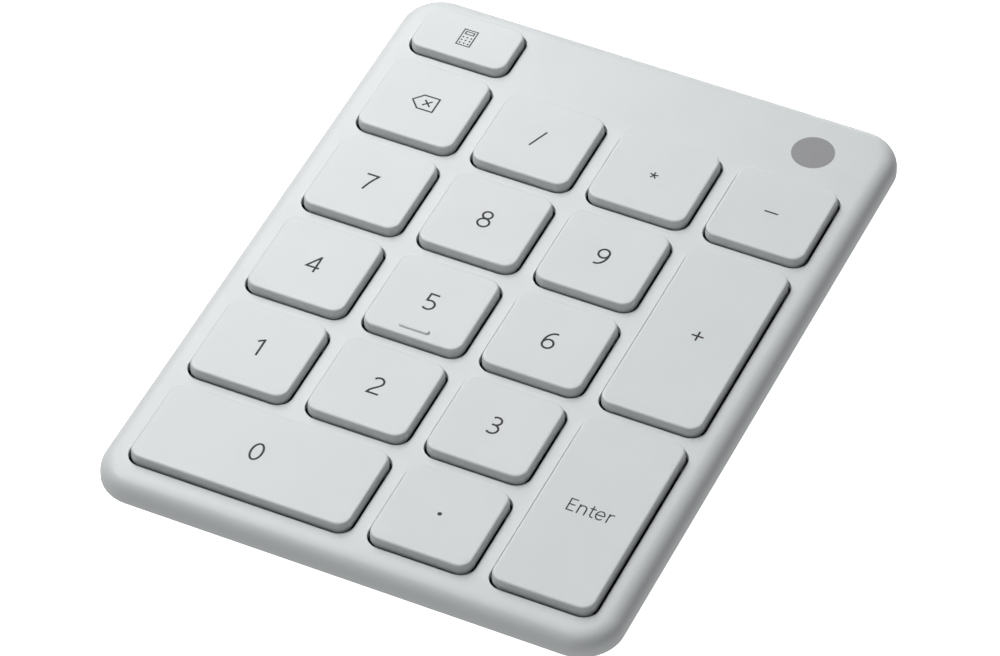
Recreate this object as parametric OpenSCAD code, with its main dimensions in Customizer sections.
// Slim wireless numeric keypad with scissor-guided keys, a coin cell and a twist-off battery door.
// Millimetres. +Z is up through the keytops, +Y points to the rear edge, and the origin is at the
// centre of the footprint, on the surface that the rubber feet stand on.

/* [Case] */
// Overall width of the case
case_w = 81.7; // [81.4:0.1:83]
// Overall length of the case
case_l = 110.9; // [110.6:0.1:112]
// Radius of the case corners, seen from above
case_corner_r = 6.5; // [6:0.1:8]
// Height of the case's flat top above the surface it stands on
case_top_z = 8.6; // [8.6:0.1:9.2]
// Depth of the visible rim, from the flat top to the parting line
rim_h = 3.5; // [3.3:0.1:3.5]
// How far the rounded shoulder reaches in from the rim
shoulder_in = 2.9; // [2.4:0.1:3]
// Height of the rounded shoulder
shoulder_h = 2.2; // [1.8:0.1:2.6]
// Thickness of the case's top web and bottom floor
web_t = 1.2; // [1.1:0.1:1.2]

/* [Keys] */
// Distance between key columns
col_pitch = 19; // [19:0.05:19.1]
// Distance between key rows
row_pitch = 18.5; // [18.4:0.05:18.5]
// Width of a single keycap at the foot of its skirt
cap_base_w = 16.3; // [16.2:0.05:16.4]
// Depth of a single keycap at the foot of its skirt
cap_base_d = 16; // [15.9:0.05:16.1]
// Corner radius of a keycap at the foot of its skirt
cap_corner_r = 2.2; // [2:0.1:2.4]
// Gap between a keycap's skirt and its opening
cap_gap = 0.25; // [0.2:0.05:0.3]
// How far the keytops stand above the case
key_rise = 1.4; // [1.4:0.05:1.5]
// How far a key travels
key_travel = 1.2; // [1:0.05:1.2]

/* [Battery] */
// Diameter of the coin cell
cell_d = 20; // [19.9:0.1:20]
// Thickness of the coin cell
cell_h = 3.2; // [3:0.1:3.2]
// How far the battery door turns to unlock, in degrees
door_turn = 50; // [45:1:55]

/* [Hidden] */
$fn = 48;
eps = 0.01;

// Every key: name, column and row of its centre, and how many columns and rows it spans
KEYS = [
    ["calculator", 0, -0.83, 1, 0.665],
    ["backspace", 0, 0, 1, 1],
    ["divide", 1, 0, 1, 1],
    ["multiply", 2, 0, 1, 1],
    ["minus", 3, 0, 1, 1],
    ["7", 0, 1, 1, 1],
    ["8", 1, 1, 1, 1],
    ["9", 2, 1, 1, 1],
    ["plus", 3, 1.5, 1, 2],
    ["4", 0, 2, 1, 1],
    ["5", 1, 2, 1, 1],
    ["6", 2, 2, 1, 1],
    ["1", 0, 3, 1, 1],
    ["2", 1, 3, 1, 1],
    ["3", 2, 3, 1, 1],
    ["enter", 3, 3.5, 1, 2],
    ["0", 0.5, 4, 2, 1],
    ["point", 2, 4, 1, 1]
];
LONG_KEYS = [for (k = KEYS) if (k[3] > 1 || k[4] > 1) k];

// Key layout
rear_row_y = 31.4;
columns = 4;

// Heights of the stacked layers
foot_h = 0.6;
floor_t = 1;
floor_z = foot_h + floor_t;
parting_z = case_top_z - rim_h;
web_z = case_top_z - web_t;
cap_top_z = case_top_z + key_rise;
cap_roof_t = 1.1;
cap_foot_z = web_z;
cap_roof_z = cap_top_z - cap_roof_t;
foot_room = 0.2;
sheet_t = 0.1;
sheets_top_z = cap_foot_z - key_travel - foot_room;
plate_t = 0.5;
plate_top_z = sheets_top_z - 3 * sheet_t;
plate_z = plate_top_z - plate_t;
board_t = 0.8;
board_z = 3.2;
board_top_z = board_z + board_t;
// Long enough to cut through every layer
through = 20;

// Case walls
wall_t = 1.3;
tray_in = 0.6;
lip_gap = 0.1;
lip_t = 0.95;
lip_h = 0.9;

// Keycaps and scissors
cap_wall = 0.95;
pin_r = 0.4;
pin_clear = 0.05;
pin_room = pin_r + pin_clear;
pin_low_z = sheets_top_z + pin_room;
pin_high_z = cap_roof_z - pin_room;
pin_mid_z = (pin_low_z + pin_high_z) / 2;
outer_pin_x = 6;
inner_pin_x = 5;
frame_half_max = 5;
frame_room = 0.35;
frame_t = 0.7;
frame_gap = 0.15;
arm_share = 0.19;
pivot_r = 0.22;
pivot_hole_r = 0.27;
pivot_l = 0.9;
hook_w = 0.9;
hook_t = 0.25;
hook_gap = 0.1;
dome_gap = 0.2;
plunger_r = 1.2;

// Stabiliser wires, in the frame of their key
bend_r = pin_r + 0.03;
wire_x = 12;
wire_tip_y = -5.5;
wire_bar_y = 5.9;
wire_tip_l = 2;
wire_clip_x = 9;
wire_clip_w = 2;
// How far a clip lets the wire's bar shift each way as it swings down
wire_shift = 0.25;

// Battery bay
bay = [-15, 31];
door_h = 1.7;
door_r = 10.45;
door_hole_r = 10.6;
door_slot = [1.6, 12, 1];
lug_r = 11.9;
lug_h = 0.6;
lug_angle = 20;
lug_count = 3;
lug_gap = 0.08;
bay_wall_r = 13.2;
mark_r = 0.5;
mark_at_r = 13.6;
cell_gap = 0.05;
cell_z = floor_z + cell_gap;
cell_step_in = 1.6;
cell_step_h = 0.4;

// Battery contacts, bent from strip
strip_w = 3;
strip_t = 0.15;
strip_end_x = 1.5;

// Board, button and light on the underside
board_min = [0.5, 22];
board_max = [30, 50.3];
board_pin_in = [3, 2.5];
board_pin_r = 0.9;
board_post_r = 1.8;
button_at = [9, 34];
button_r = 1.95;
light_at = [9, 40.5];
light_r = 0.9;

// Tail of the lower membrane, and its connector
tail_x = 8;
tail_w = 8.6;
tail_start_y = 49.9;
tail_turn_y = 51.5;
tail_end_y = 48;
tail_z = board_top_z + 0.45;

// Rubber feet
foot_l = 62;
foot_w = 5;
foot_y = 46.5;
foot_sink = 0.4;
foot_gap = 0.1;
foot_step = 0.3;

// Screws
function crossing(c, r) = [(c + 1 - columns / 2) * col_pitch, rear_row_y - (r + 0.5) * row_pitch];
CASE_SCREWS = [[-12, foot_y], [27, foot_y], crossing(0, 1), crossing(0, 2), crossing(2, 2), crossing(1, 3)];
PLATE_SCREWS = [crossing(0, 0), crossing(1, 0), crossing(2, 0), crossing(1, 1), crossing(1, 2)];
case_boss_r = 1.9;
case_boss_z = 3;
case_pilot_r = 0.85;
plate_boss_r = 1.8;
plate_pilot_r = 0.65;
boss_clear = 0.3;
// How far posts and bosses run into the wall they stand on
root = 0.3;

// Sizes of one key
function key_x(k) = (k[1] - (columns - 1) / 2) * col_pitch;
function key_y(k) = rear_row_y - k[2] * row_pitch;
function cap_w(k) = cap_base_w + (k[3] - 1) * col_pitch;
function cap_d(k) = cap_base_d + (k[4] - 1) * row_pitch;
function is_tall(k) = k[4] > 1;
function is_long(k) = k[3] > 1 || k[4] > 1;
// Half of the clear space under a cap, across its scissor
function cavity_half(k) = (is_tall(k) ? cap_w(k) : cap_d(k)) / 2 - cap_wall;
function frame_half(k) = min(frame_half_max, cavity_half(k) - frame_room);
function arm_w(k) = arm_share * frame_half(k);
function inner_half(k) = frame_half(k) - arm_w(k) - frame_gap;
function inside_half(k) = inner_half(k) - arm_w(k);
function hook_y(k) = inside_half(k) - hook_w;
function dome_r(k) = inside_half(k) - dome_gap;

// ---------- Shared shapes ----------

// A flat plate with round corners, standing on z = 0
module rounded_plate(w, l, r, h) {
    linear_extrude(height = h) {
        square([w - 2 * r, l], center = true);
        square([w, l - 2 * r], center = true);
        for (sx = [-1, 1], sy = [-1, 1])
            translate([sx * (w / 2 - r), sy * (l / 2 - r)]) circle(r = r);
    }
}

// A block with round corners whose edge follows a profile of [inset, height] points, foot first
module profiled_block(w, l, r, profile) {
    last = len(profile) - 1;
    half = concat([[0, profile[0][1]]], [for (p = profile) [r - p[0], p[1]]], [[0, profile[last][1]]]);
    for (i = [0:3])
        rotate([0, 0, 90 * i])
            translate([(i % 2 == 0 ? w : l) / 2 - r, (i % 2 == 0 ? l : w) / 2 - r, 0])
                rotate_extrude(angle = 90) polygon(half);
    profiled_bar(w, l - 2 * r, profile);
    rotate([0, 0, 90]) profiled_bar(l, w - 2 * r, profile);
}

// A straight bar along Y, w wide, whose two sides follow the profile
module profiled_bar(w, length, profile) {
    last = len(profile) - 1;
    section = concat(
        [for (p = profile) [w / 2 - p[0], p[1]]],
        [for (i = [last:-1:0]) [profile[i][0] - w / 2, profile[i][1]]]
    );
    rotate([90, 0, 0]) linear_extrude(height = length, center = true) polygon(section);
}

// A bar with round ends along X, standing on z = 0
module stadium(l, w, h) {
    translate([0, 0, h / 2]) cube([l - w, w, h], center = true);
    for (s = [-1, 1])
        translate([s * (l - w) / 2, 0, 0]) cylinder(r = w / 2, h = h);
}

// A pin along Y, centred
module cross_pin(r, length) {
    rotate([90, 0, 0]) cylinder(r = r, h = length, center = true);
}

module at_key(k) {
    translate([key_x(k), key_y(k), 0]) children();
}

// The same, turned so that X runs along a long key
module at_mechanism(k) {
    at_key(k) rotate([0, 0, is_tall(k) ? 90 : 0]) children();
}

module at_point(p, z = 0) {
    translate([p[0], p[1], z]) children();
}

module at_screws(list, z = 0) {
    for (p = list) at_point(p, z) children();
}

module at_board_pins(z = 0) {
    for (x = [board_min[0] + board_pin_in[0], board_max[0] - board_pin_in[0]])
        at_point([x, board_min[1] + board_pin_in[1]], z) children();
}

// ---------- Case ----------

shoulder_steps = 6;
// Rim and shoulder of the top case, a quarter ellipse above a straight side
RIM_PROFILE = concat(
    [[0, parting_z]],
    [for (i = [0:shoulder_steps])
        let (a = 90 * i / shoulder_steps)
        [shoulder_in * (1 - cos(a)), case_top_z - shoulder_h * (1 - sin(a))]]
);
TRAY_OUTSIDE = [[5.3, foot_h], [4.6, foot_h + 0.25], [4.1, foot_h + 0.7],
                [tray_in + 0.15, parting_z - 0.25], [tray_in, parting_z]];
TRAY_INSIDE = [[6, floor_z], [5.4, floor_z + 0.2], [2, parting_z - 0.4], [1.9, parting_z + eps]];

module top_case() {
    color("gainsboro") {
        difference() {
            profiled_block(case_w, case_l, case_corner_r, RIM_PROFILE);
            translate([0, 0, parting_z - 1])
                rounded_plate(case_w - 2 * wall_t, case_l - 2 * wall_t, case_corner_r - wall_t,
                              web_z - parting_z + 1);
            for (k = KEYS)
                at_key(k) translate([0, 0, web_z - 1])
                    rounded_plate(cap_w(k) + 2 * cap_gap, cap_d(k) + 2 * cap_gap,
                                  cap_corner_r + cap_gap, web_t + 2);
        }
        at_screws(CASE_SCREWS, case_boss_z) boss(case_boss_r, web_z - case_boss_z, case_pilot_r);
        at_screws(PLATE_SCREWS, plate_top_z) boss(plate_boss_r, web_z - plate_top_z, plate_pilot_r);
    }
}

// A round boss that reaches up into the web, with a blind pilot hole
module boss(r, h, hole_r) {
    difference() {
        cylinder(r = r, h = h + root);
        translate([0, 0, -1]) cylinder(r = hole_r, h = h + 1 - root);
    }
}

module bottom_case() {
    screw_hole_r = 0.95;
    head_hole_r = 1.6;
    color("gainsboro") difference() {
        union() {
            tray();
            at_screws(CASE_SCREWS, floor_z - root) cylinder(r = 2.4, h = case_boss_z - floor_z + root);
            at_board_pins(floor_z - root) {
                cylinder(r = board_post_r, h = board_z - floor_z + root);
                cylinder(r = board_pin_r, h = board_top_z - floor_z + 2 * root);
            }
            at_point(bay, floor_z - root) cylinder(r = bay_wall_r, h = 1 + root);
        }
        at_screws(CASE_SCREWS) {
            cylinder(r = screw_hole_r, h = through);
            cylinder(r = head_hole_r, h = floor_z);
        }
        for (s = [-1, 1])
            at_point([0, s * foot_y])
                stadium(foot_l + 2 * foot_gap, foot_w + 2 * foot_gap, foot_h + foot_sink);
        at_point(bay) door_opening();
        at_point(button_at) cylinder(r = button_r + 0.15, h = through);
        at_point(light_at) cylinder(r = light_r + pin_clear, h = through);
        at_point(bay) lock_marks();
    }
}

// The lower shell before its holes: a tray with an upright lip that fits inside the rim
module tray() {
    lip_w = case_w - 2 * (wall_t + lip_gap);
    lip_l = case_l - 2 * (wall_t + lip_gap);
    lip_r = case_corner_r - wall_t - lip_gap;
    lip_foot = 0.5;
    difference() {
        union() {
            profiled_block(case_w, case_l, case_corner_r, TRAY_OUTSIDE);
            translate([0, 0, parting_z - lip_foot]) rounded_plate(lip_w, lip_l, lip_r, lip_h + lip_foot);
        }
        profiled_block(case_w, case_l, case_corner_r, TRAY_INSIDE);
        translate([0, 0, parting_z - eps])
            rounded_plate(lip_w - 2 * lip_t, lip_l - 2 * lip_t, lip_r - lip_t, 2);
    }
}

// Through hole with notches that let the door's lugs in, and the ring space they turn in
module door_opening() {
    notch_r = lug_r + 0.2;
    ring_r = lug_r + 0.3;
    cylinder(r = door_hole_r, h = through);
    translate([0, 0, floor_z]) cylinder(r = ring_r, h = through);
    for (i = [0:lug_count - 1])
        rotate([0, 0, i * 360 / lug_count - door_turn]) sector(notch_r, lug_angle + 5, through);
}

// Two dots on the underside that show where the door's slot points when locked and when open
module lock_marks() {
    depth = 0.25;
    for (a = [90, 90 - door_turn])
        rotate([0, 0, a]) translate([mark_at_r, 0, 0]) cylinder(r = mark_r, h = foot_h + depth);
}

// A pie slice centred on the X axis, standing on z = 0
module sector(r, angle, h) {
    rotate([0, 0, -angle / 2]) rotate_extrude(angle = angle) square([r, h]);
}

module rubber_feet() {
    color("dimgray") for (s = [-1, 1])
        at_point([0, s * foot_y]) {
            stadium(foot_l - 2 * foot_step, foot_w - 2 * foot_step, foot_step + eps);
            translate([0, 0, foot_step]) stadium(foot_l, foot_w, foot_h + foot_sink - foot_step);
        }
}

// A pan-head screw pointing up, its head standing on z = 0
module screw(head_r, head_h, shank_r, length) {
    drive = [head_r * 1.2, 0.3, 0.7];
    difference() {
        cylinder(r = head_r, h = head_h);
        for (a = [0, 90]) rotate([0, 0, a]) cube(drive, center = true);
    }
    translate([0, 0, head_h - eps]) cylinder(r = shank_r, h = length);
}

module case_screws() {
    head_h = 0.55;
    color("slategray") at_screws(CASE_SCREWS, floor_z - head_h) screw(1.45, head_h, 0.8, 5);
}

module plate_screws() {
    head_h = 0.45;
    color("slategray") at_screws(PLATE_SCREWS, plate_z - head_h) screw(1.2, head_h, 0.6, 1.7);
}

// ---------- Key plate and membranes ----------

plate_w = 75.6;
plate_rear_y = 52.3;
plate_front_y = -52.5;

plate_corner_r = 4;
sheet_margin = 0.4;
tail_notch = [tail_w + 1.4, 50.4];
antenna_corner = [14, 43];

// Outline shared by the plate and the three sheets, less an edge margin
module layer(z, t, margin) {
    l = plate_rear_y - plate_front_y - 2 * margin;
    translate([0, (plate_rear_y + plate_front_y) / 2, z])
        rounded_plate(plate_w - 2 * margin, l, plate_corner_r - margin, t);
}

// Space at the rear for the cable tail, and the corner kept clear over the antenna
module rear_cutouts(margin) {
    notch_w = tail_notch[0] + 2 * margin;
    translate([tail_x - notch_w / 2, tail_notch[1] - margin, 0]) cube([notch_w, through, through]);
    translate([antenna_corner[0] - margin, antenna_corner[1] - margin, 0]) cube([40, through, through]);
}

// Space between a hook's post and the far end of its arm, and up to the arm
hook_reach = 2 * pin_r;
hook_room_h = 3 * sheet_t + 2 * pin_r + hook_gap;

// One hook that holds a pin down: a post with an arm that points along X
module hook() {
    outline = [[0, -hook_t], [hook_t, -hook_t], [hook_t, hook_room_h], [hook_t + hook_reach, hook_room_h],
               [hook_t + hook_reach, hook_room_h + hook_t], [0, hook_room_h + hook_t]];
    translate([0, hook_w / 2, 0]) rotate([90, 0, 0]) linear_extrude(height = hook_w) polygon(outline);
}

// The opening beside a post that its hook was bent up from
module hook_window() {
    translate([hook_t + pin_clear, -hook_w / 2 - hook_gap, plate_z - 1])
        cube([hook_reach, hook_w + 2 * hook_gap, plate_t + 2]);
}

// Places its children at every hook's post
module at_hooks() {
    post_x = pin_r + hook_gap + hook_t;
    for (k = KEYS) at_mechanism(k) {
        for (x = [-outer_pin_x, inner_pin_x], s = [-1, 1])
            translate([x - post_x, s * hook_y(k), 0]) children();
        if (is_long(k))
            for (s = [-1, 1])
                translate([s * (wire_x - wire_tip_l / 2), wire_tip_y - post_x, 0])
                    rotate([0, 0, 90]) children();
    }
}

module key_plate() {
    screw_hole_r = 0.75;
    color("silver") {
        difference() {
            layer(plate_z, plate_t, 0);
            rear_cutouts(0);
            at_screws(CASE_SCREWS) cylinder(r = case_boss_r + boss_clear, h = through);
            at_screws(PLATE_SCREWS) cylinder(r = screw_hole_r, h = through);
            at_hooks() hook_window();
        }
        at_hooks() translate([0, 0, plate_top_z]) hook();
    }
}

// A sheet with slots for the hooks and holes for the bosses
module sheet_with_slots(z) {
    slot_w = 1.4;
    slot_lead = pin_r + hook_gap + hook_t + 0.2;
    slot_over = 0.2;
    difference() {
        layer(z, sheet_t, sheet_margin);
        rear_cutouts(sheet_margin);
        at_screws(concat(CASE_SCREWS, PLATE_SCREWS)) cylinder(r = case_boss_r + boss_clear, h = through);
        for (k = KEYS) at_mechanism(k) {
            half = hook_y(k) + hook_w / 2 + slot_over;
            for (x = [-outer_pin_x, inner_pin_x])
                translate([x - slot_lead, -half, 0]) cube([slot_w, 2 * half, through]);
            if (is_long(k))
                for (s = [-1, 1])
                    translate([s * (wire_x - wire_tip_l / 2), wire_tip_y - slot_lead, 0])
                        translate([-hook_w / 2 - slot_over, 0, 0])
                            cube([hook_w + 2 * slot_over, slot_w, through]);
        }
    }
}

module membrane_upper() {
    color("honeydew") sheet_with_slots(sheets_top_z - sheet_t);
}

// The spacer has a hole at each contact
module membrane_spacer() {
    contact_r = 1.4;
    color("white") difference() {
        sheet_with_slots(sheets_top_z - 2 * sheet_t);
        for (k = KEYS) at_key(k) cylinder(r = contact_r, h = through);
    }
}

// The lower sheet carries the tail that folds under the plate to the connector
module membrane_lower() {
    top = plate_top_z + sheet_t;
    inner_y = tail_turn_y - sheet_t;
    outline = [[-tail_start_y, top], [-tail_turn_y, top], [-tail_turn_y, tail_z], [-tail_end_y, tail_z],
               [-tail_end_y, tail_z + sheet_t], [-inner_y, tail_z + sheet_t], [-inner_y, plate_top_z],
               [-tail_start_y, plate_top_z]];
    color("honeydew") {
        sheet_with_slots(plate_top_z);
        translate([tail_x + tail_w / 2, 0, 0]) rotate([90, 0, -90])
            linear_extrude(height = tail_w) polygon(outline);
    }
}

module rubber_domes() {
    color("whitesmoke") for (k = KEYS) at_key(k) translate([0, 0, sheets_top_z]) dome(dome_r(k));
}

// A hollow dome: a flat foot ring, a leaning skirt and a stem with a contact pad inside
module dome(r) {
    top = cap_roof_z - foot_room - pin_clear - sheets_top_z;
    ring_in = r - 0.75;
    ring_h = 0.3;
    stem_r = 1.35;
    dimple_r = 0.6;
    pad_z = top - 1.6;
    pad_r = 0.8;
    pad_t = 0.4;
    rotate_extrude() polygon([
        [ring_in, 0], [r, 0], [r, ring_h], [stem_r, top - 0.55], [stem_r, top], [dimple_r, top],
        [dimple_r, pad_z + pad_t], [0, pad_z + pad_t], [0, pad_z], [pad_r, pad_z],
        [pad_r + 0.1, top - 0.9], [ring_in, ring_h]]);
}

// ---------- Keys ----------

// A keycap's outside: an upright skirt below the case's top, a leaning one above, a rounded edge
cap_lean = 0.28;
cap_edge_r = 0.35;
edge_steps = 3;
CAP_PROFILE = concat(
    [[0, cap_foot_z], [0.05, case_top_z]],
    [for (i = [0:edge_steps])
        let (a = 90 * i / edge_steps)
        [cap_lean + cap_edge_r * (1 - cos(a)), cap_top_z - cap_edge_r * (1 - sin(a))]]
);

module keycap(k) {
    color("whitesmoke") {
        at_key(k) difference() {
            profiled_block(cap_w(k), cap_d(k), cap_corner_r, CAP_PROFILE);
            translate([0, 0, cap_foot_z - 1])
                rounded_plate(cap_w(k) - 2 * cap_wall, cap_d(k) - 2 * cap_wall, cap_corner_r - cap_wall,
                              cap_roof_z - cap_foot_z + 1);
        }
        at_key(k) translate([0, 0, cap_roof_z - foot_room]) cylinder(r = plunger_r, h = 2 * foot_room);
        at_mechanism(k) {
            for (x = [-inner_pin_x, outer_pin_x], s = [-1, 1])
                translate([x, s * hook_y(k), pin_high_z]) pin_clip(1, 0);
            if (is_long(k))
                for (s = [-1, 1])
                    translate([s * wire_clip_x, wire_bar_y, pin_high_z])
                        rotate([0, 0, 90]) pin_clip(wire_clip_w, wire_shift);
        }
        if (k[0] == "5") at_key(k) home_bar();
    }
}

// A clip under a cap that holds a pin along Y; shift lets the pin move along X
module pin_clip(w, shift) {
    below = 0.35;
    mouth = 0.6;
    difference() {
        translate([-w / 2, -hook_w / 2, -below]) cube([w, hook_w, below + pin_room + hook_gap]);
        for (x = [-shift, shift]) translate([x, 0, 0]) cross_pin(pin_room, hook_w + 1);
        translate([-shift, -hook_w, -pin_room]) cube([2 * shift + eps, 2 * hook_w, 2 * pin_room]);
        translate([-mouth / 2 - shift, -hook_w, -1]) cube([mouth + 2 * shift, 2 * hook_w, 1]);
    }
}

// The raised bar that lets a finger find the middle key
module home_bar() {
    bar = [4.8, 0.75, 0.25];
    sink = 0.2;
    translate([0, -5.9, cap_top_z - sink]) stadium(bar[0], bar[1], bar[2] + sink);
}

// Two nested frames that cross at a pivot and keep the cap level
module scissor(k) {
    color("white") at_mechanism(k) {
        outer_frame(k);
        inner_frame(k);
    }
}

module outer_frame(k) {
    half = frame_half(k);
    w = arm_w(k);
    rise = pin_high_z - pin_low_z;
    tilt = atan(rise / (2 * outer_pin_x));
    translate([-outer_pin_x, 0, pin_low_z]) cross_pin(pin_r, 2 * half - 0.1);
    translate([outer_pin_x, 0, pin_high_z]) cross_pin(pin_r, 2 * half - 0.1);
    difference() {
        for (s = [-1, 1])
            translate([0, s * (half - w / 2), pin_mid_z]) rotate([0, -tilt, 0])
                cube([2 * outer_pin_x / cos(tilt), w, frame_t], center = true);
        translate([0, 0, pin_mid_z]) cross_pin(pivot_hole_r, 2 * half + 1);
    }
}

module inner_frame(k) {
    half = inner_half(k);
    w = arm_w(k);
    rise = pin_high_z - pin_low_z;
    tilt = atan(rise / (2 * inner_pin_x));
    translate([inner_pin_x, 0, pin_low_z]) cross_pin(pin_r, 2 * half - 0.1);
    translate([-inner_pin_x, 0, pin_high_z]) cross_pin(pin_r, 2 * half - 0.1);
    for (s = [-1, 1]) {
        translate([0, s * (half - w / 2), pin_mid_z]) rotate([0, tilt, 0])
            cube([2 * inner_pin_x / cos(tilt), w, frame_t], center = true);
        translate([0, s * (half + frame_gap + root - pivot_l / 4), pin_mid_z]) cross_pin(pivot_r, pivot_l);
    }
}

// Bent wire that keeps the ends of a long cap level: its tips turn in the plate's hooks
module stabiliser(k) {
    tip = wire_x - wire_tip_l;
    color("lightsteelblue") at_mechanism(k) {
        for (s = [-1, 1]) {
            wire([s * tip, wire_tip_y, pin_low_z], [s * wire_x, wire_tip_y, pin_low_z]);
            wire([s * wire_x, wire_tip_y, pin_low_z], [s * wire_x, wire_bar_y, pin_high_z]);
            for (p = [[wire_tip_y, pin_low_z], [wire_bar_y, pin_high_z]])
                translate([s * wire_x, p[0], p[1]]) sphere(r = bend_r);
        }
        wire([-wire_x, wire_bar_y, pin_high_z], [wire_x, wire_bar_y, pin_high_z]);
    }
}

// A straight length of round wire from a to b
module wire(a, b) {
    d = b - a;
    translate(a) rotate([0, acos(d[2] / norm(d)), atan2(d[1], d[0])]) cylinder(r = pin_r, h = norm(d));
}

// ---------- Electronics ----------

module circuit_board() {
    size = board_max - board_min;
    color("darkgreen") difference() {
        at_point(board_min, board_z) cube([size[0], size[1], board_t]);
        at_board_pins() cylinder(r = board_pin_r + hook_gap, h = through);
        at_point(CASE_SCREWS[1]) cylinder(r = case_boss_r + boss_clear, h = through);
    }
}

// A chip with its body hanging under the board
module chip(at, w, l, h) {
    translate([at[0] - w / 2, at[1] - l / 2, board_z - h]) cube([w, l, h]);
}

// The chips on the board's underside and the tact switch that the pairing button presses
module board_components() {
    color("black") {
        chip(button_at, 3.6, 3.6, 0.9);
        chip([21, 31], 5, 5, 0.9);
        chip([14.5, 27], 3, 3, 0.75);
        chip([25, 38.5], 3.2, 1.6, 0.8);
        for (i = [0:4]) chip([16 + 1.8 * i, 36.2], 0.6, 1.2, 0.5);
        for (i = [0:3]) chip([25.6, 26.5 + 1.8 * i], 1.2, 0.6, 0.5);
    }
}

// A shield can over the radio chip, open towards the board
module radio_module() {
    size = [8.6, 7.4, 1];
    skin = 0.2;
    color("lightgray") translate([14.8, 38.6, board_top_z]) difference() {
        cube(size);
        translate([skin, skin, -skin]) cube([size[0] - 2 * skin, size[1] - 2 * skin, size[2]]);
    }
}

module membrane_connector() {
    size = [10.4, 3.2, 1];
    room = 0.1;
    color("ivory") translate([tail_x, tail_end_y + 0.8 - size[1] / 2, 0]) difference() {
        translate([0, 0, board_top_z + size[2] / 2]) cube(size, center = true);
        translate([0, size[1] / 2, tail_z + sheet_t / 2])
            cube([tail_w + 2 * room, size[1], sheet_t + 2 * room], center = true);
    }
}

module pairing_button() {
    recess = 0.15;
    flange_r = 2.6;
    color("gray") at_point(button_at) {
        translate([0, 0, foot_h + recess]) cylinder(r = button_r, h = 1.1);
        translate([0, 0, floor_z + pin_clear]) cylinder(r = flange_r, h = 0.3);
    }
}

module status_led() {
    color("white") chip(light_at, 1.6, 0.8, 0.6);
}

module light_guide() {
    flange_r = 1.5;
    color("white") at_point(light_at) {
        translate([0, 0, foot_h]) cylinder(r = light_r, h = 1.8);
        translate([0, 0, floor_z]) cylinder(r = flange_r, h = 0.4);
    }
}

// ---------- Battery ----------

// A can whose upper, negative face is a smaller disc
module coin_cell() {
    low_h = cell_h - cell_step_h;
    color("silver") at_point(bay, cell_z) {
        cylinder(r = cell_d / 2, h = low_h);
        translate([0, 0, low_h - eps]) cylinder(r = cell_d / 2 - cell_step_in, h = cell_step_h + eps);
    }
}

// An upright tongue beside the can, with a foot on the board
module battery_contact_positive() {
    x = bay[0] + cell_d / 2 + 2 * cell_gap;
    y = bay[1] - 3.2;
    low_z = 2.6;
    foot_l = 7;
    color("gold") {
        translate([x, y, low_z]) cube([strip_t, strip_w, board_top_z + strip_t - low_z]);
        translate([x, y, board_top_z]) cube([foot_l, strip_w, strip_t]);
    }
}

// A strip from the middle of the cell's upper face, stepped down to its foot on the board
module battery_contact_negative() {
    y = bay[1] + 2;
    over_z = cell_z + cell_h + cell_gap / 2;
    reach_x = bay[0] - 2;
    foot_l = 3;
    color("gold") {
        translate([reach_x, y, over_z]) cube([strip_end_x - reach_x, strip_w, strip_t]);
        translate([strip_end_x - strip_t, y, board_top_z]) {
            cube([strip_t, strip_w, over_z + strip_t - board_top_z]);
            cube([foot_l, strip_w, strip_t]);
        }
    }
}

module battery_door() {
    color("gainsboro") at_point(bay) {
        difference() {
            translate([0, 0, foot_h]) cylinder(r = door_r, h = door_h);
            translate([0, 0, floor_z]) cylinder(r = cell_d / 2 + 2 * cell_gap, h = through);
            translate([0, 0, foot_h]) cube(door_slot, center = true);
        }
        for (i = [0:lug_count - 1]) rotate([0, 0, i * 360 / lug_count]) lug();
    }
}

// A lug that turns in above the case's floor
module lug() {
    root_r = door_r - 0.2;
    translate([0, 0, floor_z + lug_gap]) difference() {
        sector(lug_r, lug_angle, lug_h);
        translate([0, 0, -1]) cylinder(r = root_r, h = through);
    }
}

// ---------- Nodes ----------

top_case();
bottom_case();
key_plate();
membrane_upper();
membrane_spacer();
membrane_lower();
rubber_domes();
circuit_board();
board_components();
radio_module();
membrane_connector();
pairing_button();
status_led();
light_guide();
coin_cell();
battery_contact_positive();
battery_contact_negative();
battery_door();
rubber_feet();
case_screws();
plate_screws();
for (k = KEYS) {
    keycap(k);
    scissor(k);
}
for (k = LONG_KEYS)
    stabiliser(k);
